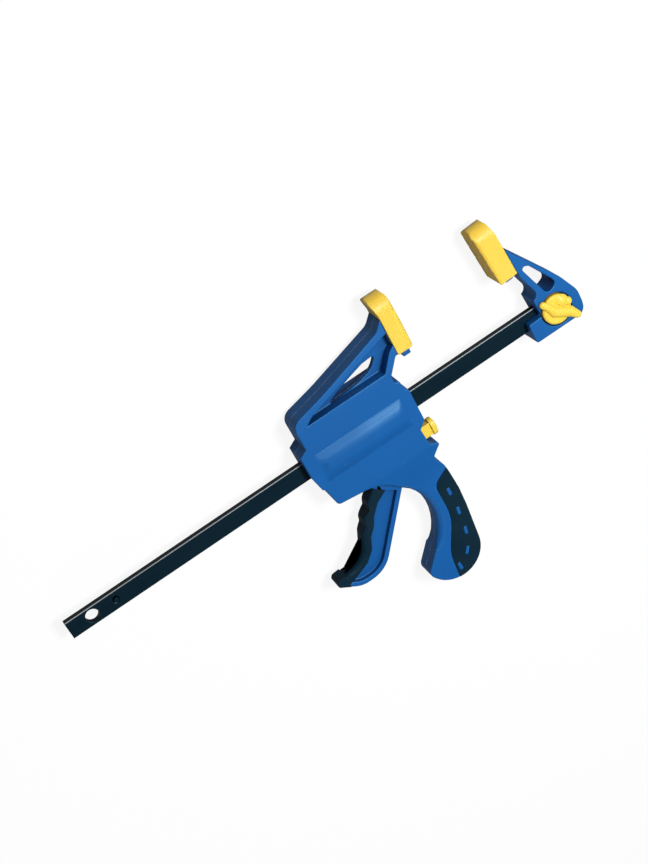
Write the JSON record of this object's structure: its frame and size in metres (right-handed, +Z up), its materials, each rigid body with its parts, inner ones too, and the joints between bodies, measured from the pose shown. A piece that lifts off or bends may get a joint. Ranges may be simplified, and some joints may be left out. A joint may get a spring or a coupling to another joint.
{
  "type": "quick release bar clamp",
  "caption": "One-hand bar clamp with a flat steel bar, two soft-faced jaws, a trigger handle that drives the moving jaw, a release button and a lock knob",
  "frame": {"origin": "middle of the clamp's box, on the bench plane that the back of the housing's raised barrel rests on", "axes": "+X along the bar towards the fixed jaw, +Y towards the jaw tips, +Z up through the thickness, with the lock knob on top"},
  "size_m": [0.565, 0.3068, 0.039],
  "materials": {
    "bar_steel": "black oxide, satin",
    "pin_steel": "dark, satin",
    "jaw_blue": "moulded, satin",
    "housing_blue": "moulded, satin",
    "trigger_blue": "moulded, satin",
    "pad_yellow": "soft, satin",
    "knob_yellow": "moulded, satin",
    "button_yellow": "moulded, satin",
    "grip_dark": "soft, matte",
    "zinc_steel": "zinc plated",
    "plate_steel": "hardened, oiled",
    "spring_steel": "drawn wire"
  },
  "bodies": {
    "fixed_side": {"bar": "bar_steel", "stop_pin": "pin_steel", "fixed_jaw": "jaw_blue", "fixed_pad": "pad_yellow"},
    "knob": {"lock_knob": "knob_yellow", "knob_washer": "zinc_steel", "knob_screw": "zinc_steel"},
    "moving_side": {"housing_front": "housing_blue", "housing_back": "housing_blue", "housing_screws": "zinc_steel", "moving_pad": "pad_yellow", "handle_grip": "grip_dark", "trigger_pin": "zinc_steel", "drive_spring": "spring_steel", "brake_spring": "spring_steel"},
    "trigger_lever": {"trigger": "trigger_blue", "trigger_grip": "grip_dark"},
    "drive": {"drive_plate_1": "plate_steel", "drive_plate_2": "plate_steel", "drive_plate_3": "plate_steel"},
    "brake": {"brake_plate": "plate_steel"},
    "button": {"release_button": "button_yellow"}
  },
  "joints": [
    {"name": "jaw_slide", "type": "slide", "parent": "fixed_side", "child": "moving_side", "axis": [1, 0, 0], "range_m": [-0.205, 0.0925]},
    {"name": "knob_turn", "type": "hinge", "parent": "fixed_side", "child": "knob", "pos_m": [0.256, 0.03777, 0.0195], "axis": [0, 0, 1], "range_deg": [0, 90]},
    {"name": "trigger_swing", "type": "hinge", "parent": "moving_side", "child": "trigger_lever", "pos_m": [0.04, 0.00477, 0.0195], "axis": [0, 0, 1], "range_deg": [0, 20], "stiffness_Nm_per_rad": 0.4, "springref_deg": -17.19},
    {"name": "drive_slide", "type": "slide", "parent": "moving_side", "child": "drive", "axis": [-1, 0, 0], "range_m": [0, 0.0053], "deforming": ["drive_spring"]},
    {"name": "button_press", "type": "slide", "parent": "moving_side", "child": "button", "axis": [-1, 0, 0], "range_m": [0, 0.0036], "stiffness_N_per_m": 800, "springref_m": -0.003},
    {"name": "brake_swing", "type": "hinge", "parent": "moving_side", "child": "brake", "pos_m": [0.0796, 0.05377, 0.0195], "axis": [0, 0, 1], "range_deg": [-4, 0]}
  ],
  "couplings": [
    {"joint": "drive_slide", "follows": "trigger_swing", "m_per_rad": 0.015},
    {"joint": "brake_swing", "follows": "button_press", "rad_per_m": -19.05}
  ]
}
